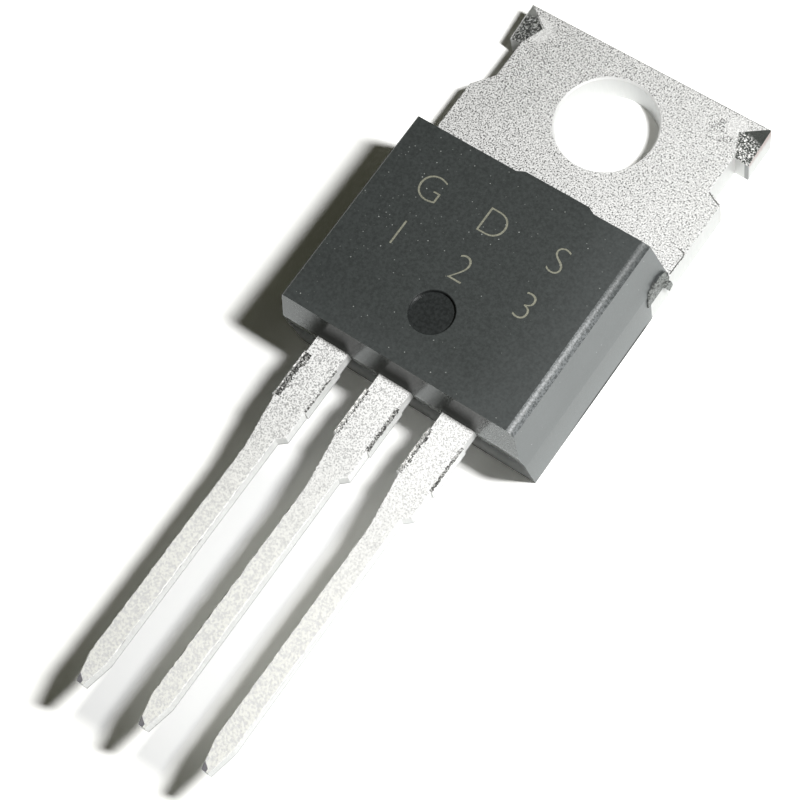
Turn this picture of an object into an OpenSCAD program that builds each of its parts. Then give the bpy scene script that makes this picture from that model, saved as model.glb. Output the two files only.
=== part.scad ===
// Power transistor in a three-lead, single-ended tab package, lying on the back of its tab.
// X runs across the package, +Y towards the top edge of the tab, +Z up from the mounting face.
// The origin is the centre of the mounting hole, on the mounting face.

/* [Tab] */
// Thickness of the tab and of the pad inside the body
tab_thickness = 1.27; // [1.15:0.01:1.4]
// Width of the tab at its shoulders, beside the body
tab_width = 10.04; // [9.8:0.02:10.4]
// Distance that each ear stays inside the shoulder beside the body
ear_inset = 0.07; // [0.01:0.01:0.3]
// Length of each ear along the tab
ear_length = 1.47; // [1.2:0.01:1.7]
// Length of the notch below each ear
notch_length = 1.6; // [1.2:0.05:1.9]
// Depth of the notch, from the outer edge of the ear
notch_depth = 0.53; // [0.3:0.01:0.8]
// Distance over which the left shoulder slopes out to full width
left_shoulder_slope = 0.74; // [0.1:0.02:1]
// Distance over which the right shoulder slopes out to full width
right_shoulder_slope = 0.22; // [0.1:0.02:1]
// Diameter of the mounting hole
hole_diameter = 3.67; // [3.5:0.01:3.9]
// Width of the rounded-off rim that the punch leaves round the hole
hole_edge_break = 0.06; // [0.02:0.01:0.15]
// Centre of the hole to the top edge of the tab
hole_to_top = 2.72; // [2.5:0.02:3]
// Centre of the hole to the foot of the body on the tab
hole_to_body = 3.8; // [3.5:0.05:4.4]
// Width of the pressed facet on each ear, along the top edge
coin_width = 0.89; // [0.5:0.01:1.2]
// Drop of the facet's top corner line, from the outer corner inwards
coin_line_drop = 0.62; // [0.3:0.01:0.8]
// Width of the pressed facet at the notch
coin_foot = 0.53; // [0.3:0.01:0.8]
// Slope of the pressed facet in degrees
coin_angle = 12; // [6:1:20]

/* [Moulded body] */
// Height of the body above the mounting face
body_height = 4.35; // [4.2:0.01:4.7]
// Length of the flat top face
top_length = 7.77; // [7.4:0.01:8.4]
// Distance that the body's sides stay inside the tab's shoulders, at the mounting face
bottom_inset = 0.135; // [0.02:0.005:0.4]
// Distance that they stay inside the shoulders at the line where they change slope
waist_inset = 0.15; // [0.14:0.005:0.4]
// Distance that they stay inside the shoulders at the top face
top_inset = 0.37; // [0.3:0.005:0.6]
// Height of the line where the side faces change slope
waist_height = 2.05; // [1.6:0.05:2.4]
// Sideways shift of the moulding from the centre line of the tab and leads
mould_shift = 0.14; // [0:0.01:0.2]
// Setback of the top face from the parting line, at the lead end
front_draft = 0.19; // [0.1:0.01:0.3]
// Setback of the mounting face from the parting line, at the lead end
front_undercut = 0.36; // [0.2:0.01:0.5]
// Setback of the top face from the foot of the body, at the tab end
back_draft = 0.55; // [0.3:0.01:0.7]
// Height of the upright strip below the parting line
parting_strip = 0.06; // [0.02:0.02:0.46]
// Size of the edge break round the top face
top_edge_break = 0.05; // [0.02:0.01:0.1]
// Extra lean of the right-hand side face, at the top
right_lean = 0.07; // [0:0.01:0.15]
// Radius of the rounded right-hand edge of the top face
edge_radius = 0.31; // [0.2:0.01:0.4]
// Distance from the side's unleaned top line to the start of that rounding
edge_inset = 0.37; // [0.3:0.01:0.6]
// Drop from the top face to the fine ledge that ends the rounding
ledge_drop = 0.13; // [0.06:0.01:0.2]
// Length of the tab's shoulders that the body's upper half covers
shoulder_cover = 1.1; // [0.8:0.05:1.4]
// Width of the low tongue at the tab end
tongue_width = 3.45; // [2:0.05:4]
// Height of the tongue above the tab
tongue_height = 0.53; // [0.4:0.01:1.2]
// Reach of the tongue beyond the foot of the body
tongue_reach = 0.6; // [0.2:0.02:0.8]
// Size of the tongue's sloped corners, along its width
tongue_corner = 0.42; // [0.1:0.01:0.5]
// Diameter of the ejector pin recess
ejector_diameter = 1.55; // [1:0.05:2.2]
// Depth of the ejector pin recess
ejector_depth = 0.14; // [0.05:0.01:0.3]
// Lead end of the top face to the centre of the recess
ejector_inset = 2.1; // [1.6:0.05:3]
// Sideways shift of the ejector pin recess from the centre line
ejector_shift = 0.08; // [0:0.01:0.2]
// Length of the scar where the moulding gate was broken off, along the side
gate_length = 1.2; // [0.8:0.05:1.5]
// Height of the gate scar above the tab
gate_height = 1.15; // [0.6:0.05:1.3]
// Distance that the gate scar stands out from the side
gate_proud = 0.05; // [0.02:0.01:0.1]
// Distance that the flake left hanging on the scar stands out from the side
flake_proud = 0.18; // [0.12:0.01:0.25]

/* [Leads] */
// Spacing of the three leads
lead_pitch = 2.54; // [2.5:0.01:2.6]
// Thickness of the leads
lead_thickness = 0.5; // [0.45:0.01:0.6]
// Height of the leads' top faces above the mounting face
lead_top = 2.93; // [2.75:0.01:3.05]
// Length of the leads from the parting line to the tips
lead_length = 13.71; // [13:0.01:14.1]
// Width of the leads' wide part
wide_width = 1.26; // [1.15:0.01:1.4]
// Length of the wide part from the body to the shoulder
wide_length = 3.5; // [3.2:0.05:3.9]
// Width of the leads' narrow part
narrow_width = 0.73; // [0.69:0.01:0.93]
// Length of the short shoulder on the right of each lead
short_shoulder = 0.22; // [0.1:0.02:0.4]
// Length of the long taper on the left of each lead
long_taper = 2; // [1:0.05:2.2]
// Body to the first edge of the sheared tie bar
tie_start = 0.66; // [0.4:0.02:0.9]
// Length of the sheared tie bar's stump
tie_length = 1.8; // [1:0.05:2]
// Distance that the stump stands out on the left of each lead
left_stump = 0.1; // [0.02:0.01:0.15]
// Distance that the stump stands out on the right of each lead
right_stump = 0.05; // [0.02:0.01:0.15]
// Length of the taper at each tip
tip_length = 1; // [0.6:0.05:1.4]
// Width of each tip
tip_width = 0.28; // [0.2:0.02:0.5]

/* [Inside] */
// Top edge of the tab to the inner end of the pad
pad_length = 12.3; // [11.9:0.05:12.8]
// Width of the pad where the mounting face shows it
pad_width = 7.9; // [7:0.05:8.4]
// Distance that the pad's locking flange reaches beyond it on each side
flange_reach = 0.35; // [0.15:0.05:0.5]
// Thickness of the locking flange
flange_thickness = 0.6; // [0.4:0.05:0.8]
// Length of the sloping part of the centre lead, along Y
bend_length = 1.5; // [1.2:0.05:1.6]
// Width of the centre lead's sloping part
bend_width = 1.9; // [1.4:0.05:2.4]
// Length of the centre lead's flat start on the edge of the pad
bend_root = 0.3; // [0.1:0.05:0.5]
// Length over which the centre lead keeps its bend width at the top
bend_run_out = 0.2; // [0.1:0.05:0.4]
// Width of the bonding posts inside the outer leads
post_width = 2.5; // [1.9:0.05:2.6]
// Length of the bonding posts
post_length = 1.2; // [1:0.05:1.3]
// Distance that each post reaches past its lead on the side of the centre lead
post_overhang = 0.35; // [0.2:0.05:0.5]
// Body's parting line to the bonding posts
post_inset = 1; // [0.8:0.05:1.2]
// Width of the silicon die
die_width = 4.5; // [3.5:0.1:5.5]
// Length of the silicon die
die_length = 3.4; // [3:0.1:3.8]
// Thickness of the silicon die
die_thickness = 0.22; // [0.15:0.01:0.4]
// Thickness of the solder below the die
solder_thickness = 0.05; // [0.03:0.01:0.1]
// Distance that the solder shows round the die
solder_margin = 0.12; // [0.05:0.01:0.25]
// Inner end of the pad to the near edge of the die
die_inset = 0.55; // [0.4:0.05:0.7]
// Diameter of the gate bond wire
gate_wire_diameter = 0.2; // [0.12:0.01:0.25]
// Diameter of the source bond wires
source_wire_diameter = 0.38; // [0.3:0.01:0.5]
// Spacing of the two source bond wires
source_wire_spacing = 0.95; // [0.75:0.05:1.1]
// Angle at which the wires' arches rise from the posts, in degrees
wire_rise = 30; // [20:1:45]

/* [Hidden] */
$fn = 96;

// Lines across the package, worked out from the hole outwards
foot_y = -hole_to_body;
top_back_y = foot_y - back_draft;
top_front_y = top_back_y - top_length;
parting_y = top_front_y - front_draft;
bottom_front_y = parting_y + front_undercut;
shoulder_y = foot_y - shoulder_cover;
pad_end_y = hole_to_top - pad_length;
tip_y = parting_y - lead_length;
ear_y = hole_to_top - ear_length;
notch_y = ear_y - notch_length;

// Heights
lead_bottom = lead_top - lead_thickness;
solder_top = tab_thickness + solder_thickness;
die_top = solder_top + die_thickness;

// Widths
ear_width = tab_width - 2 * ear_inset;
neck_x = ear_width / 2 - notch_depth;
bottom_width = tab_width - 2 * bottom_inset;
waist_width = tab_width - 2 * waist_inset;
top_width = tab_width - 2 * top_inset;
flange_width = pad_width + 2 * flange_reach;

// Outer leads and their bonding posts
post_x = lead_pitch + (post_width - wide_width) / 2 - post_overhang;
post_front_y = parting_y + post_inset;
post_y = post_front_y + post_length / 2;

// Die and the places where the wires are bonded
die_y = pad_end_y + die_inset + die_length / 2;
gate_bond = [-0.36 * die_width, die_y - 0.3 * die_length];
source_bond_x = 0.2 * die_width;
source_bond_y = die_y - 0.05 * die_length;

// Form of the wires' pressed feet, as shares of the wire's diameter
foot_flatness = 0.6;
foot_spread = 1.3;
foot_stretch = 1.7;

// Distance that cutters reach beyond what they cut
overrun = 1;

epoxy = "#3f4443";
tinned_copper = "#d9dbd8";
solder = "#8f9294";
silicon = "#5a6470";
aluminium = "#c9ccce";

// Solid whose section in the Y-Z plane is given, across the whole width
module across(width) {
    translate([-width / 2, 0, 0])
        rotate([90, 0, 90]) linear_extrude(width) children();
}

// Solid whose section in the X-Z plane is given, from y0 back to y1
module along(y0, y1) {
    translate([0, y1, 0])
        rotate([90, 0, 0]) linear_extrude(y1 - y0) children();
}

// Outline of the tab outside the body, as punched from the strip
module tab_outline() {
    polygon([
        [-ear_width / 2, hole_to_top], [ear_width / 2, hole_to_top],
        [ear_width / 2, ear_y], [neck_x, ear_y], [neck_x, notch_y],
        [tab_width / 2, notch_y - right_shoulder_slope], [tab_width / 2, shoulder_y],
        [-tab_width / 2, shoulder_y], [-tab_width / 2, notch_y - left_shoulder_slope],
        [-neck_x, notch_y], [-neck_x, ear_y], [-ear_width / 2, ear_y]
    ]);
}

// Cutter for the pressed facet on the right ear, sloping down towards the notch
module ear_coining() {
    ear_x = ear_width / 2;
    line_angle = atan2(coin_line_drop, coin_width);
    reach = ear_width / 2;
    intersection() {
        linear_extrude(2 * tab_thickness)
            polygon([
                [ear_x - coin_width, hole_to_top - coin_line_drop], [ear_x, hole_to_top],
                [ear_x + overrun, hole_to_top], [ear_x + overrun, ear_y - notch_length / 2],
                [ear_x - coin_foot, ear_y - notch_length / 2], [ear_x - coin_foot, ear_y]
            ]);
        translate([ear_x, hole_to_top, tab_thickness])
            rotate([0, 0, line_angle]) rotate([coin_angle, 0, 0])
                translate([-reach, -reach, 0]) cube([2 * reach, reach, tab_thickness]);
    }
}

// Pad inside the body, with a flange along its upper edge that locks it in the moulding
module pad() {
    translate([-pad_width / 2, pad_end_y, 0])
        cube([pad_width, shoulder_y - pad_end_y, tab_thickness]);
    translate([-flange_width / 2, pad_end_y - flange_reach, tab_thickness - flange_thickness])
        cube([flange_width, shoulder_y - pad_end_y + flange_reach, flange_thickness]);
}

// Part of the centre lead that climbs from the pad to the plane of the leads
module drain_bend() {
    low_y = pad_end_y - flange_reach;
    high_y = low_y - bend_length;
    across(bend_width)
        polygon([
            [low_y + bend_root, tab_thickness], [low_y, tab_thickness], [high_y, lead_top],
            [high_y - bend_run_out, lead_top], [high_y - bend_run_out, lead_bottom],
            [high_y, lead_bottom], [low_y, tab_thickness - lead_thickness],
            [low_y + bend_root, tab_thickness - lead_thickness]
        ]);
}

// Outline of one lead outside the body, centred on x = 0
module lead_outline() {
    wide = wide_width / 2;
    narrow = narrow_width / 2;
    tie_end = tie_start + tie_length;
    shoulder = wide_length + short_shoulder;
    taper_end = tie_end + long_taper;
    taper_start = tip_y + tip_length;
    polygon([
        [-wide, parting_y + post_inset], [wide, parting_y + post_inset],
        [wide, parting_y - tie_start],
        [wide + right_stump, parting_y - tie_start], [wide + right_stump, parting_y - tie_end],
        [wide, parting_y - tie_end], [wide, parting_y - wide_length],
        [narrow, parting_y - shoulder], [narrow, taper_start],
        [tip_width / 2, tip_y], [-tip_width / 2, tip_y], [-narrow, taper_start],
        [-narrow, parting_y - taper_end], [-wide, parting_y - tie_end],
        [-wide - left_stump, parting_y - tie_end], [-wide - left_stump, parting_y - tie_start],
        [-wide, parting_y - tie_start]
    ]);
}

module lead_blank() {
    translate([0, 0, lead_bottom]) linear_extrude(lead_thickness) lead_outline();
}

// Outer lead with its bonding post inside the body: side is -1 for the gate, 1 for the source
module outer_lead_blank(side) {
    translate([side * lead_pitch, 0, 0]) lead_blank();
    translate([side * post_x - post_width / 2, post_front_y, lead_bottom])
        cube([post_width, post_length, lead_thickness]);
}

module tab_blank() {
    linear_extrude(tab_thickness) tab_outline();
    pad();
    drain_bend();
    lead_blank();
}

module solder_blank() {
    width = die_width + 2 * solder_margin;
    length = die_length + 2 * solder_margin;
    translate([-width / 2, die_y - length / 2, tab_thickness])
        cube([width, length, solder_thickness]);
}

module die_blank() {
    translate([-die_width / 2, die_y - die_length / 2, solder_top])
        cube([die_width, die_length, die_thickness]);
}

// Bond wire from the die to a post: two flattened feet and one round arch between them
module bond_wire(from, to, diameter) {
    heading = atan2(to[1] - from[1], to[0] - from[0]);
    foot_height = foot_flatness * diameter;
    foot_length = foot_stretch * diameter;
    run = norm([to[0] - from[0], to[1] - from[1]]);
    rise = lead_top - die_top;
    chord = norm([run, rise]);
    tilt = atan2(rise, run);
    half_angle = wire_rise + tilt;
    radius = chord / 2 / sin(half_angle);
    centre_drop = radius * cos(half_angle);
    translate([from[0], from[1], die_top]) rotate([0, 0, heading]) {
        translate([-foot_length / 2, -foot_spread * diameter / 2, 0])
            cube([foot_length, foot_spread * diameter, foot_height]);
        translate([run - foot_length / 2, -foot_spread * diameter / 2, rise])
            cube([foot_length, foot_spread * diameter, foot_height]);
        translate([
            run / 2 + centre_drop * sin(tilt), 0,
            diameter / 2 + rise / 2 - centre_drop * cos(tilt)
        ])
            rotate([90, 0, 0]) rotate([0, 0, 90 + tilt - half_angle])
                rotate_extrude(angle = 2 * half_angle)
                    translate([radius, 0]) circle(d = diameter, $fn = 32);
    }
}

module gate_wire_blank() {
    bond_wire(gate_bond, [-post_x, post_y], gate_wire_diameter);
}

module source_wire_blank(side) {
    shift = side * source_wire_spacing / 2;
    bond_wire([source_bond_x + shift, source_bond_y], [post_x + shift, post_y], source_wire_diameter);
}

// Outer form of the moulding before anything is let into it
module body_form() {
    half_top = top_width / 2;
    intersection() {
        across(2 * bottom_width)
            polygon([
                [bottom_front_y, 0], [parting_y, lead_top - parting_strip], [parting_y, lead_top],
                [top_front_y, body_height], [top_back_y, body_height],
                [foot_y, tab_thickness], [shoulder_y, tab_thickness], [shoulder_y, 0]
            ]);
        translate([mould_shift, 0, 0])
            along(parting_y - overrun, foot_y + overrun)
                polygon([
                    [-bottom_width / 2, 0], [bottom_width / 2, 0], [waist_width / 2, waist_height],
                    [half_top - right_lean, body_height],
                    [-half_top + top_edge_break, body_height], [-half_top, body_height - top_edge_break],
                    [-waist_width / 2, waist_height]
                ]);
    }
}

// Low tongue on the tab, in the middle of the moulding's tab end
module tongue() {
    tip = foot_y + tongue_reach;
    half = tongue_width / 2;
    translate([mould_shift, 0, tab_thickness])
        linear_extrude(tongue_height)
            polygon([
                [-half, top_back_y - overrun], [half, top_back_y - overrun],
                [half, tip - tongue_corner / 2], [half - tongue_corner, tip],
                [-half + tongue_corner, tip], [-half, tip - tongue_corner / 2]
            ]);
}

// Scar where the gate was broken off the right-hand side, with a flake that hangs over the tab's
// edge: both outlines are given along Y and Z, as shares of the scar's length and height
module gate_scar() {
    side_x = mould_shift + waist_width / 2;
    translate([side_x - flake_proud, foot_y, tab_thickness]) rotate([90, 0, 90]) {
        linear_extrude(flake_proud + gate_proud)
            scale([gate_length, gate_height])
                polygon([
                    [-1.08, 0], [-1.08, 0.42], [-0.95, 0.72], [-0.55, 1], [-0.25, 0.88],
                    [-0.12, 0.4], [-0.06, 0]
                ]);
        linear_extrude(2 * flake_proud)
            scale([gate_length, gate_height])
                polygon([[-0.42, 0.24], [-0.1, 0.12], [-0.02, -0.26], [-0.2, -0.37]]);
    }
}

// Cutter for the rounded right-hand edge of the top face, with a fine ledge at its foot
module edge_rounding() {
    length = top_length + front_draft + 4 * overrun;
    translate([mould_shift + top_width / 2 - edge_inset, parting_y - overrun, body_height])
        difference() {
            translate([0, 0, -ledge_drop]) cube([overrun, length, overrun]);
            translate([0, -overrun, -edge_radius]) rotate([-90, 0, 0])
                cylinder(r = edge_radius, h = length + 2 * overrun);
        }
}

module moulded_body() {
    color(epoxy) difference() {
        union() {
            body_form();
            tongue();
            gate_scar();
        }
        edge_rounding();
        translate([ejector_shift, top_front_y + ejector_inset, body_height - ejector_depth])
            cylinder(d = ejector_diameter, h = ejector_depth + overrun);
        union() {
            tab_blank();
            solder_blank();
            die_blank();
            source_wire_blank(-1);
            source_wire_blank(1);
            gate_wire_blank();
            outer_lead_blank(-1);
            outer_lead_blank(1);
        }
    }
}

module tab_and_drain_lead() {
    color(tinned_copper) difference() {
        tab_blank();
        ear_coining();
        mirror([1, 0, 0]) ear_coining();
        translate([0, 0, -overrun])
            cylinder(d = hole_diameter, h = tab_thickness + 2 * overrun);
        translate([0, 0, tab_thickness - hole_edge_break])
            cylinder(d1 = hole_diameter, d2 = hole_diameter + 2 * hole_edge_break, h = hole_edge_break);
    }
}

module gate_lead() {
    color(tinned_copper) outer_lead_blank(-1);
}

module source_lead() {
    color(tinned_copper) outer_lead_blank(1);
}

module die_solder() {
    color(solder) solder_blank();
}

module silicon_die() {
    color(silicon) die_blank();
}

module gate_wire() {
    color(aluminium) gate_wire_blank();
}

module source_wire_1() {
    color(aluminium) source_wire_blank(-1);
}

module source_wire_2() {
    color(aluminium) source_wire_blank(1);
}

moulded_body();
tab_and_drain_lead();
gate_lead();
source_lead();
die_solder();
silicon_die();
gate_wire();
source_wire_1();
source_wire_2();
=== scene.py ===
from math import atan2, cos, hypot, radians, sin

import bpy
from mathutils import Matrix, Vector


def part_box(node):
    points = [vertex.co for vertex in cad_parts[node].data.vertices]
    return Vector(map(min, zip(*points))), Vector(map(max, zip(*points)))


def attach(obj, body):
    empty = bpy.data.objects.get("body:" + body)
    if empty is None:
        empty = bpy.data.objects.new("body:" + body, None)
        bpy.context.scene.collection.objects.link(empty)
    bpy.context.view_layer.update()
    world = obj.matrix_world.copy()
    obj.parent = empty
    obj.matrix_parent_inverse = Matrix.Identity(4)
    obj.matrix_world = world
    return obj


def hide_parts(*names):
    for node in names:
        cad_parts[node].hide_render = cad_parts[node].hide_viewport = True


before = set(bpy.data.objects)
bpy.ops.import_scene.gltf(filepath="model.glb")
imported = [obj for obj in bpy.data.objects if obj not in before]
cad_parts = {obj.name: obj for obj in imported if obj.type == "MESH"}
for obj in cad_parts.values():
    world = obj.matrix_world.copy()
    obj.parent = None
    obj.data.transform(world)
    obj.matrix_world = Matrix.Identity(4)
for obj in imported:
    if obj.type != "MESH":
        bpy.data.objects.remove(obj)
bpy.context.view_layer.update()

# Tab and centre lead. One piece of copper strip, stamped, its ears pressed down at the corners, and
# tin plated all over: the tab bolts to the heatsink, and the middle lead runs up from it through the
# moulding. The punch leaves a rolled upper edge, smooth sheared walls and a matte crystalline face.
mm = 0.001
PITCH = 2.54
EDGE_ROLL = 0.04 * mm
LEAD_ROLL = 0.035 * mm


def take_up(node, name):
    """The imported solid's mesh as a new piece, with its loose triangles joined into whole faces."""
    piece = bpy.data.objects.new(name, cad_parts[node].data.copy())
    bpy.context.scene.collection.objects.link(piece)
    piece.data.materials.clear()
    hold(piece)
    bpy.ops.object.mode_set(mode="EDIT")
    bpy.ops.mesh.select_all(action="SELECT")
    bpy.ops.mesh.remove_doubles(threshold=0.0005 * mm)
    bpy.ops.mesh.dissolve_limited(angle_limit=radians(0.2))
    bpy.ops.object.mode_set(mode="OBJECT")
    bpy.ops.mesh.customdata_custom_splitnormals_clear()
    return piece


def hold(piece):
    """Leaves this piece as the only one selected, and active."""
    bpy.ops.object.select_all(action="DESELECT")
    piece.select_set(True)
    bpy.context.view_layer.objects.active = piece


def pick(piece, edges=None, faces=None):
    """Selects the edges whose two ends, or the faces whose middle and normal, pass the test."""
    hold(piece)
    mesh = piece.data
    bpy.ops.object.mode_set(mode="EDIT")
    bpy.ops.mesh.select_mode(type="EDGE" if edges else "FACE")
    bpy.ops.mesh.select_all(action="DESELECT")
    bpy.ops.object.mode_set(mode="OBJECT")
    if edges:
        for edge in mesh.edges:
            a, b = (mesh.vertices[i].co / mm for i in edge.vertices)
            edge.select = edges(a, b)
    if faces:
        for face in mesh.polygons:
            face.select = faces(face.center / mm, face.normal)
    bpy.ops.object.mode_set(mode="EDIT")


def roll_edges(piece, edges, width):
    """Rounds the picked edges."""
    pick(piece, edges=edges)
    bpy.ops.mesh.bevel(offset=width, segments=3, affect="EDGES", clamp_overlap=True)
    bpy.ops.object.mode_set(mode="OBJECT")


def combine(piece, tool, operation="DIFFERENCE", crossing=False):
    """Takes the tool's form out of the piece, or adds it; the new faces keep the tool's finish."""
    hold(piece)
    cut = piece.modifiers.new("cut", "BOOLEAN")
    cut.operation = operation
    cut.solver = "EXACT"
    cut.use_self = crossing
    cut.material_mode = "TRANSFER"
    cut.object = tool
    bpy.ops.object.modifier_apply(modifier="cut")
    bpy.data.objects.remove(tool)


def waver(piece, edges, cuts, reach, size):
    """Lets the picked long edges waver from side to side, as a blunted punch leaves them."""
    pick(piece, edges=edges)
    bpy.ops.mesh.subdivide(number_cuts=cuts)
    bpy.ops.object.vertex_group_assign_new()
    bpy.ops.object.mode_set(mode="OBJECT")
    ripple = bpy.data.textures.new("ripple", "CLOUDS")
    ripple.noise_scale = size * mm
    shift = piece.modifiers.new("waver", "DISPLACE")
    shift.direction = "X"
    shift.strength = reach * mm
    shift.texture = ripple
    shift.texture_coords = "LOCAL"
    shift.vertex_group = piece.vertex_groups[-1].name
    bpy.ops.object.modifier_apply(modifier="waver")
    piece.vertex_groups.clear()


def put_on(piece, finish, faces=None):
    """Gives the piece, or its faces that pass the test, a finish."""
    slots = piece.data.materials
    if finish.name not in slots:
        slots.append(finish)
    index = slots.find(finish.name)
    for face in piece.data.polygons:
        if faces is None or faces(face.center / mm, face.normal):
            face.material_index = index


def set_up(piece, node):
    """Smooths the piece and puts it in the part in place of its plain solid."""
    hold(piece)
    bpy.ops.object.shade_smooth_by_angle(angle=radians(24))
    for face in piece.data.polygons:
        if face.area > 0.6 * mm * mm or abs(face.normal.z) > 0.9999:
            face.use_smooth = False
    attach(piece, "root")
    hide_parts(node)


class Shade:
    """A number or colour that varies over a surface; its operators add Math nodes."""

    def __init__(self, finish, socket):
        self.finish = finish
        self.socket = socket

    def math(self, operation, *others, clamp=False):
        values = dict(enumerate((self, *others)))
        return self.finish.node("ShaderNodeMath", values, operation=operation, use_clamp=clamp)

    def __add__(self, other):
        return self.math("ADD", other)

    def __sub__(self, other):
        return self.math("SUBTRACT", other)

    def __rsub__(self, other):
        return self.finish.node("ShaderNodeMath", {0: other, 1: self}, operation="SUBTRACT")

    def __mul__(self, other):
        return self.math("MULTIPLY", other)

    def __truediv__(self, other):
        return self.math("DIVIDE", other)

    def __gt__(self, other):
        return self.math("GREATER_THAN", other)

    def __lt__(self, other):
        return self.math("LESS_THAN", other)

    def __pow__(self, other):
        return self.math("POWER", other)

    def __abs__(self):
        return self.math("ABSOLUTE")

    def clamp(self):
        return self.math("ADD", 0.0, clamp=True)

    def rise(self, start, end):
        """0 below start and 1 above end, smoothly between them."""
        return self.finish.node(
            "ShaderNodeMapRange", {"Value": self, "From Min": start, "From Max": end},
            interpolation_type="SMOOTHSTEP")

    __radd__ = __add__
    __rmul__ = __mul__


class Finish:
    """One material: node() adds any node, sets it up, then fills its sockets."""

    def __init__(self, name):
        self.material = bpy.data.materials.new(name)
        self.material.use_nodes = True
        self.tree = self.material.node_tree
        self.tree.nodes.clear()

    def node(self, kind, values=None, out=0, **settings):
        made = self.tree.nodes.new(kind)
        for key, value in settings.items():
            setattr(made, key, value)
        for key, value in (values or {}).items():
            socket = made.inputs[key]
            if isinstance(value, Shade):
                self.tree.links.new(value.socket, socket)
            elif isinstance(value, tuple) and len(value) == 3 and socket.type == "RGBA":
                socket.default_value = (*value, 1)
            else:
                socket.default_value = value
        outputs = [o for o in made.outputs if o.enabled]
        return Shade(self, made.outputs[out] if isinstance(out, str) else outputs[out])

    def place(self):
        """X, Y and Z on the piece, in millimetres."""
        spot = self.node("ShaderNodeTexCoord", out="Object")
        parts = self.node("ShaderNodeSeparateXYZ", {0: spot})
        return [Shade(self, parts.socket.node.outputs[i]) * (1 / mm) for i in range(3)]

    def noise(self, size, detail=2.0, rough=0.5, stretch=(1, 1, 1), offset=(0, 0, 0)):
        """Noise from 0 to 1 whose features are about this many millimetres across."""
        spot = self.node("ShaderNodeTexCoord", out="Object")
        turned = self.node("ShaderNodeMapping", {0: spot, "Location": offset, "Scale": stretch})
        return self.node("ShaderNodeTexNoise", {
            "Vector": turned, "Scale": 1 / (size * mm), "Detail": detail, "Roughness": rough})

    def near(self, x, y, to_x, to_y, reach, fade):
        """1 around this place in millimetres, and 0 from this reach on, over this fade."""
        away = ((x - to_x) * (x - to_x) + (y - to_y) * (y - to_y)) ** 0.5
        return 1 - away.rise(reach - fade, reach)

    def mix(self, share, a, b):
        """Colour a where share is 0 and colour b where it is 1."""
        return self.node("ShaderNodeMix", {0: share, 6: a, 7: b}, data_type="RGBA")

    def bump(self, height, depth, strength):
        """Normal of a relief whose height runs over this many millimetres."""
        return self.node("ShaderNodeBump", {
            "Height": height, "Distance": depth * mm, "Strength": strength})

    def done(self, shader):
        output = self.tree.nodes.new("ShaderNodeOutputMaterial")
        self.tree.links.new(shader.socket, output.inputs["Surface"])
        return self.material


def off_lead(x):
    """How far X lies from the middle of the nearest lead, in millimetres."""
    return x - (x / PITCH).math("ROUND") * PITCH


def tin_face(name):
    """Matte tin: fine dark hollows between bright crystals, fewer of them towards +X, where the face
    is painted brighter as the side nearer the lamp. Beside the left ear and round the hole it was
    pressed smooth, beside the right ear it is scuffed."""
    f = Finish(name)
    x, y = f.place()[:2]
    patchy = f.noise(0.3, detail=3.0)
    pressed = f.near(x, y, -4.15, 1.95, 0.62, 0.3) + f.near(x, y, 3.9, 2.2, 0.45, 0.2)
    pressed = pressed + f.near(x, y, 0, 0, 1.91, 0.03)
    scuffed = (f.near(x, y, 3.55, 1.8, 0.6, 0.2) * patchy.rise(0.45, 0.6)).clamp()
    # Painted light: the tab's face is made brighter towards +X, the side nearer the lamp.
    lit_side = (x + f.noise(1.2, detail=2.0) * 2 - 1).rise(-5.0, 4.0)
    grain = f.noise(0.058, detail=0.0)
    fine = f.noise(0.045, detail=0.0, offset=(1, 0, 0))
    crystals = (grain + lit_side * 0.055 + pressed * 0.3 - scuffed * 0.12).rise(0.27, 0.57)
    bright = crystals * 0.65 + fine.rise(0.3, 0.7) * 0.35
    shade = f.mix(bright, (0.08, 0.08, 0.078), (1.0, 1.0, 0.985))
    return f.done(f.node("ShaderNodeBsdfPrincipled", {
        "Base Color": shade, "Metallic": 0.25, "Roughness": 0.52 + fine * 0.1,
        "Normal": f.bump(crystals + fine * 0.4, 0.012, 0.6)}))


def blade_face(name):
    """Bright tin of the leads, painted brighter than the tab's tin for the glare of the bench around
    them, and brighter still towards +X, the lamp side: a close fine grain at the moulding, loose pale
    flakes at the tips, each of which is bare and dark at the corner where it was cut."""
    f = Finish(name)
    x, y = f.place()[:2]
    outward = (-14.0 - y).rise(0, 7)
    fine = f.noise(0.05, detail=0.0) * 0.6 + f.noise(0.036, detail=0.0, offset=(1, 0, 0)) * 0.4
    # Painted light: the grain grows brighter towards +X, the side nearer the lamp.
    fine = (fine + x.rise(-5, 4) * 0.03).rise(0.3, 0.62)
    flakes = f.noise(0.085, detail=1.0).rise(0.3, 0.68)
    grain = fine * (1 - outward) + flakes * outward
    # Painted light: the dark tone of the grain also lifts towards +X.
    dark = f.mix(x.rise(-4, 3), (0.34, 0.34, 0.335), (0.55, 0.55, 0.54))
    dark = f.mix(outward, dark, (0.8, 0.8, 0.79))
    shade = f.mix(grain, dark, f.mix(outward, (1.0, 1.0, 0.985), (1.0, 1.0, 0.94)))
    off = off_lead(x)
    cut = (y + off * 0.7 < -25.87) * (off < 0.04)
    shade = f.mix(cut * 0.85, shade, (0.08, 0.075, 0.1))
    return f.done(f.node("ShaderNodeBsdfPrincipled", {
        "Base Color": shade, "Metallic": 0.1, "Roughness": 0.5, "Normal": f.bump(grain, 0.01, 0.5)}))


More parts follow.
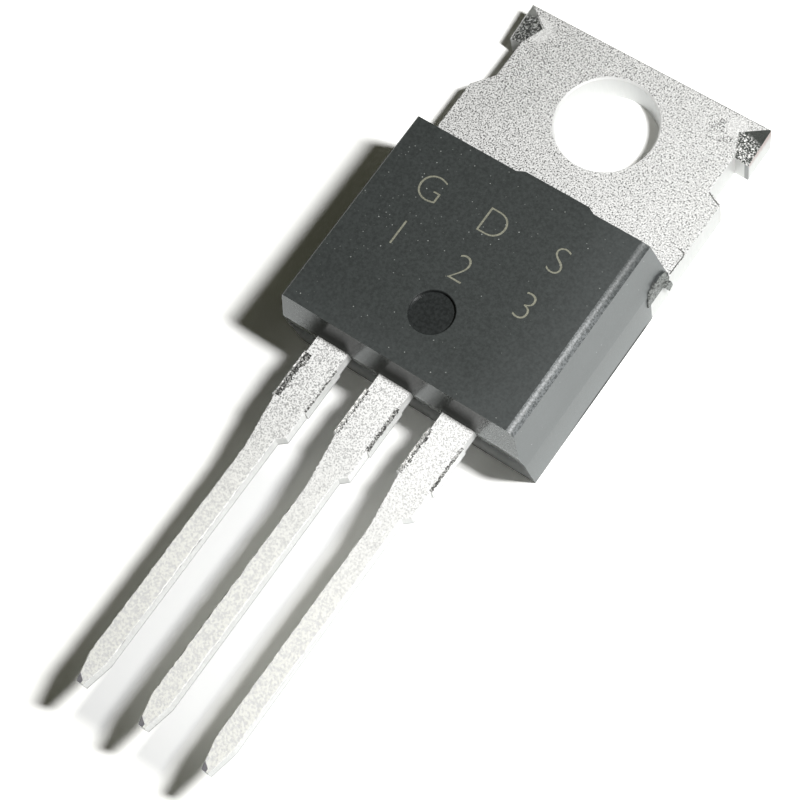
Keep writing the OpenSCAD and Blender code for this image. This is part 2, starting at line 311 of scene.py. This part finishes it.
def tin_wall(name, dark, light):
    """Sheared wall of the strip under its plating: smooth, with fine drag lines down the cut,
    brightest inside the hole, reddish where the copper shows through at the pressed right ear,
    and grey in that ear's corner. Along the foot of the lead walls a grey band is painted shade."""
    f = Finish(name)
    x, y, z = f.place()
    drag = f.noise(0.06, detail=2.0, stretch=(1, 1, 0.12))
    bare = (x > 4.9) * (y > 1.3) * (z + drag * 0.2).rise(0.75, 1.15)
    shade = f.mix(bare * 0.75, f.mix(drag, dark, light), (0.33, 0.22, 0.2))
    shade = f.mix(f.near(x, y, 0, 0, 2.0, 0.05) * 0.45, shade, (0.93, 0.93, 0.92))
    # A dark line down the right ear's corner, and painted shade along the foot of the lead walls.
    corner = (x > 4.8) * (abs(y - 1.27) < 0.035) * (z < 1.1)
    shade = f.mix((corner + (z < 2.5) * (z > 2.0) * 0.5).clamp(), shade, (0.25, 0.25, 0.25))
    return f.done(f.node("ShaderNodeBsdfPrincipled", {
        "Base Color": shade, "Metallic": 0.2, "Roughness": 0.45, "Normal": f.bump(drag, 0.004, 0.4)}))


def rough_tin(name, size, dark, light, share, plain=None):
    """Tin torn or squashed by a tool: dark and coarse, with bright crumbs over part of it. The
    plain function adds further tones by place."""
    f = Finish(name)
    x, y = f.place()[:2]
    crumbs = f.noise(size, detail=3.0, rough=0.7)
    shade = f.mix(crumbs.rise(share, share + 0.16), dark, light)
    if plain:
        shade = plain(f, shade, x, y)
    return f.done(f.node("ShaderNodeBsdfPrincipled", {
        "Base Color": shade, "Metallic": 0.6, "Roughness": 0.42, "Normal": f.bump(crumbs, 0.05, 0.8)}))


matte_tin = tin_face("matte_tin")
sheared_tin = tin_wall("sheared_tin", (0.56, 0.56, 0.55), (0.66, 0.66, 0.65))
bright_tin = blade_face("bright_matte_tin")
blade_wall = tin_wall("sheared_blade_tin", (0.8, 0.8, 0.79), (0.98, 0.98, 0.97))


def left_ear_tones(f, shade, x, y):
    """Smooth grey near the top corner, and a bright burr along the outer edge."""
    shade = f.mix((y - x * 0.2).rise(3.15, 3.4), shade, (0.42, 0.43, 0.41))
    return f.mix((-4.9 - x).rise(0.0, 0.03), shade, (1.0, 1.0, 0.98))


def right_ear_tones(f, shade, x, y):
    """Plain dark near the top edge and at the outer corner."""
    return f.mix((y + x * 0.25).rise(3.15, 3.4), shade, (0.05, 0.055, 0.05))


def lit_lip_highlight(f, shade, x, y):
    """A painted highlight along the -X edge of each stump, where a narrow sheared facet catches the
    light.
    """
    off = off_lead(x) * -1
    return f.mix((off - (x < -1.8) * 0.045).rise(0.6, 0.62) * 0.85, shade, (0.95, 0.95, 0.93))


pressed_left = rough_tin(
    "pressed_left_tin", 0.075, (0.08, 0.085, 0.08), (0.85, 0.86, 0.84), 0.47, left_ear_tones)
pressed_right = rough_tin(
    "pressed_right_tin", 0.065, (0.03, 0.035, 0.03), (0.95, 0.95, 0.93), 0.47, right_ear_tones)
torn_tin = rough_tin("torn_tin", 0.06, (0.08, 0.08, 0.075), (0.72, 0.72, 0.7), 0.45, lit_lip_highlight)
scored_tin = rough_tin("scored_tin", 0.06, (0.1, 0.1, 0.09), (0.3, 0.3, 0.28), 0.5)


def on_upper_edge(a, b, top):
    return abs(a.z - top) < 0.002 and abs(b.z - top) < 0.002


TAB_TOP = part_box("die_solder")[0][2] / mm
LEAD_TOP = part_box("gate_lead")[1][2] / mm
PARTING_Y = -12.307
TIE_START, TIE_END = PARTING_Y - 0.68, PARTING_Y - 2.44


def outer_lead_edge(a, b):
    return max(a.y, b.y) < PARTING_Y and min(a.z, b.z) > TAB_TOP


def tear(blade, outer, inner, seed):
    """Tears the tie bar's stump along one side of a lead, between two X values in millimetres: the
    floor of the tear rises from its outer side and runs out raggedly at the inner one."""
    wide = inner - outer
    deep = min(0.09, abs(wide) / 2)
    bpy.ops.object.select_all(action="DESELECT")
    bpy.ops.mesh.primitive_grid_add(
        x_subdivisions=max(2, round(abs(wide) / 0.04)), y_subdivisions=40, size=1)
    tool = bpy.context.active_object
    bpy.ops.object.mode_set(mode="EDIT")
    bpy.ops.mesh.select_all(action="SELECT")
    bpy.ops.transform.resize(value=(1.4 * wide * mm, (TIE_START - TIE_END) * mm, 1))
    bpy.ops.transform.vertex_random(offset=0.012 * mm, seed=seed)
    bpy.ops.transform.vertex_random(offset=deep / 2 * mm, normal=1, seed=seed)
    slope = atan2(deep, abs(wide)) * (1 if wide > 0 else -1)
    bpy.ops.transform.rotate(value=slope, orient_axis="Y", center_override=(-wide / 2 * mm, 0, 0))
    bpy.ops.mesh.extrude_region_move(TRANSFORM_OT_translate={"value": (0, 0, 0.4 * mm)})
    bpy.ops.mesh.select_all(action="SELECT")
    bpy.ops.mesh.normals_make_consistent(inside=False)
    bpy.ops.transform.translate(value=(
        (outer + inner) / 2 * mm, (TIE_START + TIE_END) / 2 * mm, (LEAD_TOP - deep) * mm))
    bpy.ops.object.mode_set(mode="OBJECT")
    put_on(tool, torn_tin)
    combine(blade, tool, crossing=True)


def finish_blade(blade, left_tear, right_tear, seed):
    """Rolled edges, plated faces and torn tie bar of one lead, given its X range at the stump."""
    roll_edges(blade, lambda a, b: outer_lead_edge(a, b) and on_upper_edge(a, b, LEAD_TOP), LEAD_ROLL)
    put_on(blade, bright_tin, lambda c, n: c.y < PARTING_Y + 0.5)
    put_on(blade, blade_wall, lambda c, n: c.y < PARTING_Y + 0.5 and abs(n.z) < 0.6)
    tear(blade, *left_tear, seed)
    tear(blade, *right_tear, seed + 1)
    waver(blade, lambda a, b: max(a.y, b.y) < PARTING_Y - 0.05 and abs(a.y - b.y) > 1.5
          and min(a.z, b.z) > LEAD_TOP - 0.3, 60, 0.07, 0.1)


def score(piece, corners):
    """Cuts a fine scratch along these places on the tab's face."""
    for (x0, y0), (x1, y1) in zip(corners, corners[1:]):
        bpy.ops.object.select_all(action="DESELECT")
        bpy.ops.mesh.primitive_cube_add(size=1, rotation=(0, 0, atan2(y1 - y0, x1 - x0)), location=(
            (x0 + x1) / 2 * mm, (y0 + y1) / 2 * mm, TAB_TOP * mm))
        tool = bpy.context.active_object
        tool.scale = ((hypot(x1 - x0, y1 - y0) + 0.02) * mm, 0.035 * mm, 0.06 * mm)
        bpy.ops.object.transform_apply(location=True, rotation=True, scale=True)
        put_on(tool, scored_tin)
        combine(piece, tool)


tab = take_up("tab_and_drain_lead", "tab_with_drain_lead")
roll_edges(tab, lambda a, b: on_upper_edge(a, b, TAB_TOP) and min(a.y, b.y) > -3.75
           and (max(abs(a.x), abs(b.x)) > 4.3 and min(abs(a.x), abs(b.x)) > 2.5 or min(a.y, b.y) > 2.7),
           EDGE_ROLL)
put_on(tab, matte_tin)
put_on(tab, sheared_tin, lambda c, n: abs(n.z) < 0.6)
put_on(tab, blade_wall, lambda c, n: 0.5 < n.z < 0.95 and c.xy.length < 1.95)
put_on(tab, pressed_left, lambda c, n: 0.9 < n.z < 0.99 and c.y > 1.2 and c.x < 0)
put_on(tab, pressed_right, lambda c, n: 0.9 < n.z < 0.99 and c.y > 1.2 and c.x > 0)
score(tab, ((4.44, -0.4), (4.75, -0.56), (4.96, -0.64)))
score(tab, ((4.67, -2.71), (4.945, -2.76), (4.995, -2.9), (4.975, -3.18), (4.97, -3.66)))
finish_blade(tab, (-0.69, -0.54), (0.66, 0.55), 11)
set_up(tab, "tab_and_drain_lead")

# Gate and source leads. Stamped from the same strip, with a bonding post inside the moulding and a
# straight blade outside: the tie bar between them was sheared away, which left the rough stumps.
gate = take_up("gate_lead", "gate_blade")
put_on(gate, matte_tin)
finish_blade(gate, (-3.23, -2.95), (-1.88, -1.94), 21)
set_up(gate, "gate_lead")

source = take_up("source_lead", "source_blade")
put_on(source, matte_tin)
finish_blade(source, (1.84, 2.02), (3.2, 3.11), 31)
set_up(source, "source_lead")


# Die, its solder and the bond wires. Sealed inside the moulding: a metallised silicon chip on soft
# solder, with one thin wire to the gate post and two thick ones to the source post.
def plain_metal(name, dark, light, size, roughness):
    """Metal with a fine grain between two tones."""
    f = Finish(name)
    grain = f.noise(size, detail=2.0)
    return f.done(f.node("ShaderNodeBsdfPrincipled", {
        "Base Color": f.mix(grain, dark, light), "Metallic": 1.0, "Roughness": roughness,
        "Normal": f.bump(grain, 0.01, 0.4)}))


solder = plain_metal("soft_solder", (0.42, 0.43, 0.44), (0.6, 0.61, 0.62), 0.2, 0.45)
chip_metal = plain_metal("metallised_silicon", (0.2, 0.22, 0.25), (0.3, 0.32, 0.36), 0.05, 0.25)
gate_metal = plain_metal("gate_wire_metal", (0.7, 0.7, 0.71), (0.85, 0.85, 0.86), 0.05, 0.3)
source_metal = plain_metal("source_wire_metal", (0.7, 0.7, 0.71), (0.85, 0.85, 0.86), 0.08, 0.32)
for node, finish in (
        ("die_solder", solder), ("silicon_die", chip_metal), ("gate_wire", gate_metal),
        ("source_wire_1", source_metal), ("source_wire_2", source_metal)):
    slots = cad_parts[node].data.materials
    slots.clear()
    slots.append(finish)


# Moulded body. One shot of black epoxy moulding compound round the leadframe, full of fine silica
# filler that shows as pale specks. The ejector pin left a polished round recess in the top face.
def epoxy(name, roughness, painted_light, relief=0.006, painted_shade=None, ior=1.6, specks_over=4.0):
    """Matte black compound with a fine mottled skin and pale filler specks, made paler where the caller
    paints light in and duller where it paints shade.
    """
    f = Finish(name)
    x, y, z = f.place()
    mottle = f.noise(0.1, detail=4.0, rough=0.7)
    cloud = f.noise(1.8, detail=2.0)
    spots = f.node("ShaderNodeTexVoronoi", {
        "Vector": f.node("ShaderNodeTexCoord", out="Object"), "Scale": 1 / (0.14 * mm)})
    spread = Shade(f, spots.socket.node.outputs["Color"])
    chance = f.node("ShaderNodeSeparateXYZ", {0: spread})
    glint = Shade(f, chance.socket.node.outputs[1])
    crowd = (x * -0.08 + y * 0.04 + 0.45 + cloud * 1.2).rise(0.4, 1.3)
    shown = (chance < crowd * 0.7 + 0.16) * (z > specks_over)
    speck = (spots < glint * 0.08 + 0.08) * shown * glint * glint
    shade = f.mix(mottle.rise(0.3, 0.7), (0.03, 0.034, 0.033), (0.05, 0.0565, 0.055))
    # Painted light: a share of pale tone that stands in for the glare, highlights and sheen each caller
    # paints.
    shade = f.mix(painted_light(f, x, y, z, mottle, cloud), shade, (0.2, 0.213, 0.217))
    shade = f.mix(speck * 0.75, shade, (0.42, 0.44, 0.42))
    skin = f.node("ShaderNodeBsdfPrincipled", {
        "Base Color": shade, "Roughness": roughness + mottle * 0.06, "IOR": ior,
        "Normal": f.bump(mottle, relief, 0.4)})
    # Painted shade: a dull, unreflecting layer mixed in where the caller paints shade.
    if painted_shade:
        share, tone = painted_shade(f, x, y, z)
        dull = f.node("ShaderNodeBsdfPrincipled", {
            "Base Color": tone, "Roughness": 1.0, "Specular IOR Level": 0.0})
        skin = f.node("ShaderNodeMixShader", {0: share, 1: skin, 2: dull})
    return f.done(skin)


# Painted glare: paler towards the right and front edges, beside the bright side face, leads and bench.
def painted_light_top(f, x, y, z, mottle, cloud):
    return ((x + cloud * 1.5).rise(2.6, 5.6) + (-11.2 - y + cloud).rise(-0.3, 1.8) * 0.6).clamp() * 0.1


# Painted highlight on the rounded right edge and its ledge: bright and sparkly at the front, fading to
# the back.
def painted_light_edge(f, x, y, z, mottle, cloud):
    glitter = f.noise(0.07, detail=2.0, rough=0.7)
    return ((glitter.rise(0.42, 0.62) + 0.3) * (1 - y.rise(-9.0, -5.5) * 0.68)).clamp()


def painted_light_side(f, x, y, z, mottle, cloud):
    """Painted sheen of the bright bench on the side, palest at the front; a faint painted shade band
    runs up along the waist.
    """
    band = 1 - abs(z - y * 0.05 - 2.95).rise(0, 0.5)
    return 0.25 + (-9.4 - y).rise(-0.4, 1.4) * 0.08 - band * 0.03 + (cloud - 0.5) * 0.12


def painted_light_foot(f, x, y, z, mottle, cloud):
    """Painted sheen, paler down to the foot, with pale grains."""
    return (0.2 - z * 0.075 + (cloud - 0.5) * 0.1 + mottle.rise(0.55, 0.7) * 0.1).clamp()


def painted_shade_at_leads(f, x, y, z):
    """Painted shade: a dull layer that dims the front above each lead and a little between them; below
    them, a pale painted reflection.
    """
    off = abs(abs(abs(x) - PITCH / 2) - PITCH / 2)
    thick = (z - 2.9).rise(0, 0.35) * 0.3 + 0.5
    shade_share = (1 - off.rise(0.45, 0.85)) * (4.35 - z).rise(0, 1.1) * thick
    shade_share = shade_share + (1 - abs(x + 0.3).rise(2.6, 4.3)) * 0.22
    pale = f.mix((2.75 - z).rise(0, 2.4), (0.085, 0.088, 0.085), (0.28, 0.285, 0.28))
    return (shade_share + (2.5 - z).rise(0, 0.3) * 0.6).clamp(), pale


def painted_foot_shadow(f, x, y, z):
    """Painted contact shadow: a dark line where the side meets the bench."""
    return (z < 0.17) * (1 - y.rise(-5.4, -5.1)) * (y + 10.5).rise(0, 2) * 0.75, (0.02, 0.02, 0.02)


def epoxy_mark(name, dark, light, roughness, size=0.05, depth=0.01):
    """Moulding compound that was burnt, broken or pressed smooth, between two tones."""
    f = Finish(name)
    grain = f.noise(size, detail=3.0, rough=0.6)
    return f.done(f.node("ShaderNodeBsdfPrincipled", {
        "Base Color": f.mix(grain.rise(0.35, 0.65), dark, light), "Roughness": roughness, "IOR": 1.6,
        "Normal": f.bump(grain, depth, 0.6)}))


BODY_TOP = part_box("moulded_body")[1][2] / mm
WAIST = 2.04
FRONT_Y, RIGHT_X, SCAR_X = -12, 4.6, 5.03
RECESS = Vector((0.08, -10.02, 0))
RECESS_RADIUS = 0.775

# Painted light in the body's finishes: glare on the top and front, a highlight on the right edge, sheen
# on the side, and shade and reflection on the front.
moulding = epoxy("moulding_compound", 0.38, painted_light_top)
front_skin = epoxy("front_compound", 0.15, painted_light_top, 0.001, painted_shade_at_leads, 1.5)
side_skin = epoxy("side_compound", 0.38, painted_light_side, specks_over=-1)
foot_skin = epoxy("lower_side_compound", 0.38, painted_light_foot, 0.01, painted_foot_shadow, specks_over=-1)
edge_skin = epoxy("painted_light_compound", 0.42, painted_light_edge, 0.025)
lasered = epoxy_mark("laser_mark", (0.17, 0.17, 0.13), (0.26, 0.26, 0.2), 0.7)
polished = epoxy_mark("polished_compound", (0.015, 0.017, 0.017), (0.027, 0.03, 0.03), 0.3, 0.12, 0.01)
broken = epoxy_mark("broken_compound", (0.045, 0.048, 0.045), (0.27, 0.285, 0.27), 0.6, 0.08, 0.09)

body = take_up("moulded_body", "moulded_case")
put_on(body, moulding)
put_on(body, front_skin, lambda c, n: n.y < -0.9 and c.y < FRONT_Y)
put_on(body, side_skin, lambda c, n: n.x > 0.9 and c.x > RIGHT_X)
put_on(body, foot_skin, lambda c, n: n.x > 0.9 and c.x > RIGHT_X and c.z < WAIST)
# Painted highlight on the rounded right top edge and on the ledge below it.
put_on(body, edge_skin, lambda c, n: c.x > 4.2 and c.z > 4.1 and 0.02 < n.x and n.z > 0.2)
put_on(body, edge_skin, lambda c, n: c.x > 4.66 and 4.2 < c.z < 4.24 and n.z > 0.9)
put_on(body, broken, lambda c, n: c.x > SCAR_X and c.z > 0.8 and c.y > -5.3)


def on_rim(a, b):
    return all(abs(p.z - BODY_TOP) < 0.002 and abs((p.xy - RECESS.xy).length - RECESS_RADIUS) < 0.01
               for p in (a, b))


roll_edges(body, on_rim, 0.035 * mm)
put_on(body, polished, lambda c, n: (c.xy - RECESS.xy).length < RECESS_RADIUS + 0.04 and c.z > 4.1
       and (c.z < BODY_TOP - 0.001 or n.z < 0.999))
pick(body, edges=lambda a, b: abs(a.z - b.z) < 0.01 and 1.9 < a.z < 3.0
     and (min(abs(a.x), abs(b.x)) > 4.5 or max(a.y, b.y) < -11.9))
bpy.ops.mesh.mark_sharp()
bpy.ops.object.mode_set(mode="OBJECT")


def mark(text, x, y):
    """Burns one character, 1.05 mm high, into the top face, thin and shallow as a marking laser
    leaves it. The font's capitals are 0.7 of its size."""
    bpy.ops.object.select_all(action="DESELECT")
    bpy.ops.object.text_add()
    letter = bpy.context.active_object
    letter.data.body = text
    letter.data.align_x = "CENTER"
    letter.data.offset = -0.024
    letter.data.resolution_u = 6
    letter.data.extrude = 0.5
    bpy.ops.object.convert(target="MESH")
    letter = bpy.context.active_object
    bpy.ops.object.mode_set(mode="EDIT")
    bpy.ops.mesh.select_all(action="SELECT")
    bpy.ops.mesh.remove_doubles(threshold=0.0005)
    size = 1.05 / 0.7 * mm
    bpy.ops.transform.resize(value=(size, size, 0.03 * mm), center_override=(0, 0, 0))
    bpy.ops.transform.translate(value=(x * mm, y * mm, BODY_TOP * mm))
    bpy.ops.object.mode_set(mode="OBJECT")
    put_on(letter, lasered)
    combine(body, letter, crossing=True)


def crumb(y, z, size, seed):
    """One rough lump of compound on the scar where the gate broke off."""
    bpy.ops.object.select_all(action="DESELECT")
    bpy.ops.mesh.primitive_ico_sphere_add(subdivisions=2, radius=size * mm)
    lump = bpy.context.active_object
    bpy.ops.object.mode_set(mode="EDIT")
    bpy.ops.mesh.select_all(action="SELECT")
    bpy.ops.transform.vertex_random(offset=0.22 * size * mm, seed=seed)
    bpy.ops.transform.resize(value=(0.6, 1, 1), center_override=(0, 0, 0))
    bpy.ops.transform.translate(value=(SCAR_X * mm, y * mm, z * mm))
    bpy.ops.object.mode_set(mode="OBJECT")
    put_on(lump, broken)
    combine(body, lump, "UNION")


for seed, (y, z, size) in enumerate((
        (-4.9, 2.1, 0.13), (-4.66, 2.22, 0.15), (-4.4, 2.25, 0.14), (-4.16, 2.1, 0.16),
        (-4.02, 1.8, 0.16), (-4.5, 1.98, 0.15), (-3.98, 1.47, 0.15), (-4.97, 1.86, 0.1))):
    crumb(y, z, size, seed)
for x, name, number in ((-PITCH, "G", "1"), (0, "D", "2"), (PITCH, "S", "3")):
    mark(name, x, -6.85)
    mark(number, x, -8.75)
set_up(body, "moulded_body")

# Bench. A white sweep under a soft key light from the right, as a studio table has.
bpy.ops.object.select_all(action="DESELECT")
bpy.ops.mesh.primitive_circle_add(vertices=128, radius=0.055, fill_type="NGON")
bench = bpy.context.active_object
bench.name = "white_bench"
f = Finish("white_sheet")
x, y = f.place()[:2]
rays = f.node("ShaderNodeLightPath", out="Is Camera Ray")
glossy = Shade(f, rays.socket.node.outputs["Is Glossy Ray"])
# Painted shade on the bench: its colour is lowered near the leads and in front of the moulding so their
# shadows fall deeper, most of all close to the moulding, and the lit strips between the leads are
# painted light grey.
among_leads = (x + 8).rise(0, 2) * (1 - x.rise(3.5, 5.5)) * (1 - y.rise(-11.6, -10.6))
far = f.near(x, y, 5, -12, 50, 32)
outer = (-13.5 - y).rise(0, 4)
sheet = f.mix(among_leads, (1.5, 1.5, 1.47), f.mix(outer, (1.15, 1.15, 1.13), (1.42, 1.42, 1.385)))
strip = (1 - abs(off_lead(x) + 0.05).rise(0.45, 0.85)) * (x > -3.6) * (x < 1.1) * (-14.0 - y).rise(0, 3)
sheet = f.mix(strip * (y + 27.3).rise(0, 0.8), sheet, (0.93, 0.935, 0.935))
sheet = f.mix(1 - far, sheet, (8, 8, 8))
sheet = f.mix(rays, f.mix(glossy, (0.8, 0.8, 0.79), (1.45, 1.5, 1.49)), sheet)
bench.data.materials.append(f.done(f.node("ShaderNodeBsdfDiffuse", {"Color": sheet})))

KEY_PLACE = Vector((30, -4, 54)) * mm
KEY_TARGET = Vector((0, -10, 0)) * mm
bpy.ops.object.light_add(type="AREA", location=KEY_PLACE)
key = bpy.context.active_object
key.name = "key_light"
key.data.shape = "ELLIPSE"
key.data.size = 6 * mm
key.data.size_y = 11 * mm
key.data.energy = 0.0455
key.rotation_euler = (KEY_PLACE - KEY_TARGET).to_track_quat("Z", "Y").to_euler()

world = bpy.data.worlds.new("white_room")
bpy.context.scene.world = world
world.use_nodes = True
tree = world.node_tree
tree.nodes.clear()
path = tree.nodes.new("ShaderNodeLightPath")
room = tree.nodes.new("ShaderNodeBackground")
room.inputs["Color"].default_value = (1, 1, 0.7, 1)
room.inputs["Strength"].default_value = 0.033
white = tree.nodes.new("ShaderNodeBackground")
white.inputs["Color"].default_value = (1, 1, 1, 1)
white.inputs["Strength"].default_value = 1.0
choose = tree.nodes.new("ShaderNodeMixShader")
sky = tree.nodes.new("ShaderNodeOutputWorld")
tree.links.new(path.outputs["Is Camera Ray"], choose.inputs[0])
tree.links.new(room.outputs[0], choose.inputs[1])
tree.links.new(white.outputs[0], choose.inputs[2])
tree.links.new(choose.outputs[0], sky.inputs["Surface"])

# Camera. Close above the part, over its lower right, as the photograph was taken.
AZIMUTH, ELEVATION, ROLL = radians(54.08), radians(66.38), radians(-20.05)
AIM = Vector((0, -10.347, 2.0)) * mm
DISTANCE, ACROSS, ALONG = 72.18 * mm, -1.098 * mm, -1.738 * mm
PIXELS_PER_FOCAL, FRAME_PIXELS, SENSOR = 2170.4, 800, 36
back = Vector((sin(AZIMUTH) * cos(ELEVATION), -cos(AZIMUTH) * cos(ELEVATION), sin(ELEVATION)))
level = Vector((cos(AZIMUTH), sin(AZIMUTH), 0))
upright = back.cross(level)
right = level * cos(ROLL) + upright * sin(ROLL)
up = upright * cos(ROLL) - level * sin(ROLL)
camera_data = bpy.data.cameras.new("camera")
camera_data.sensor_width = SENSOR
camera_data.lens = SENSOR * PIXELS_PER_FOCAL / FRAME_PIXELS
camera_data.clip_start = 5 * mm
camera_data.clip_end = 10
camera = bpy.data.objects.new("camera", camera_data)
bpy.context.scene.collection.objects.link(camera)
spot = AIM + right * ACROSS + up * ALONG + back * DISTANCE
camera.matrix_world = Matrix.Translation(spot) @ Matrix((right, up, back)).transposed().to_4x4()
bpy.context.scene.camera = camera
bpy.context.scene.view_settings.view_transform = "Standard"
